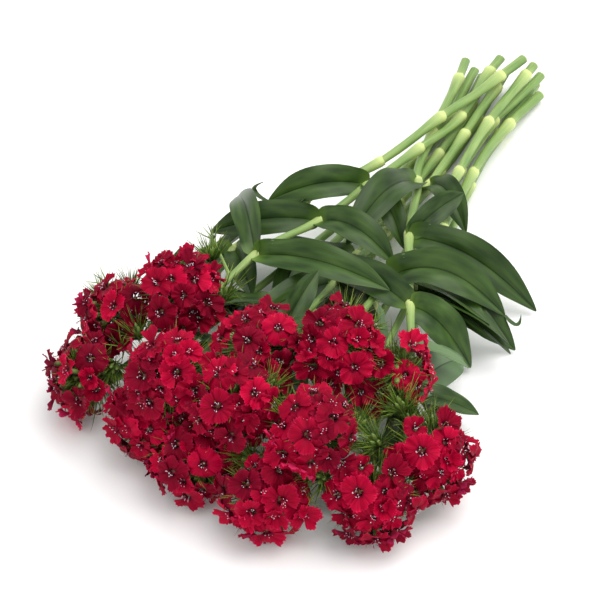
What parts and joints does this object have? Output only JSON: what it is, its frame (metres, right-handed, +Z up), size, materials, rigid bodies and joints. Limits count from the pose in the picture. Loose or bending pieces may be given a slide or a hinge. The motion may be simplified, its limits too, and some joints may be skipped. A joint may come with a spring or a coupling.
{
  "type": "cut bunch of sweet william",
  "caption": "Loose bunch of cut sweet william lying on its side: domed crimson flower heads, bristly green bracts, broad leaves and jointed green stems.",
  "frame": {"origin": "on the surface the bunch lies on, under the middle of its bounding box", "axes": "+Y along the stems from the flower heads to the cut ends, +Z up from the surface, +X to the right as seen from the heads"},
  "size_m": [0.2876, 0.5184, 0.103],
  "materials": {
    "green": "satin plant tissue: dark green leaves with a paler midrib, light yellow-green stems with pale swollen nodes, and yellow-green bristly bracts",
    "petals": "velvety crimson petals with toothed edges, darker at the centre, with a few white anthers"
  },
  "bodies": {
    "root": {"stem_01": "green", "stem_02": "green", "stem_03": "green", "stem_04": "green", "stem_05": "green", "stem_06": "green", "stem_07": "green", "stem_08": "green", "stem_09": "green", "stem_10": "green", "stem_11": "green", "stem_12": "green", "stem_13": "green", "stem_14": "green", "flowers_01": "petals", "flowers_02": "petals", "flowers_03": "petals", "flowers_04": "petals", "flowers_05": "petals", "flowers_06": "petals", "flowers_07": "petals", "flowers_08": "petals", "flowers_09": "petals", "flowers_10": "petals", "flowers_11": "petals", "flowers_12": "petals", "flowers_13": "petals", "flowers_14": "petals"}
  },
  "joints": []
}
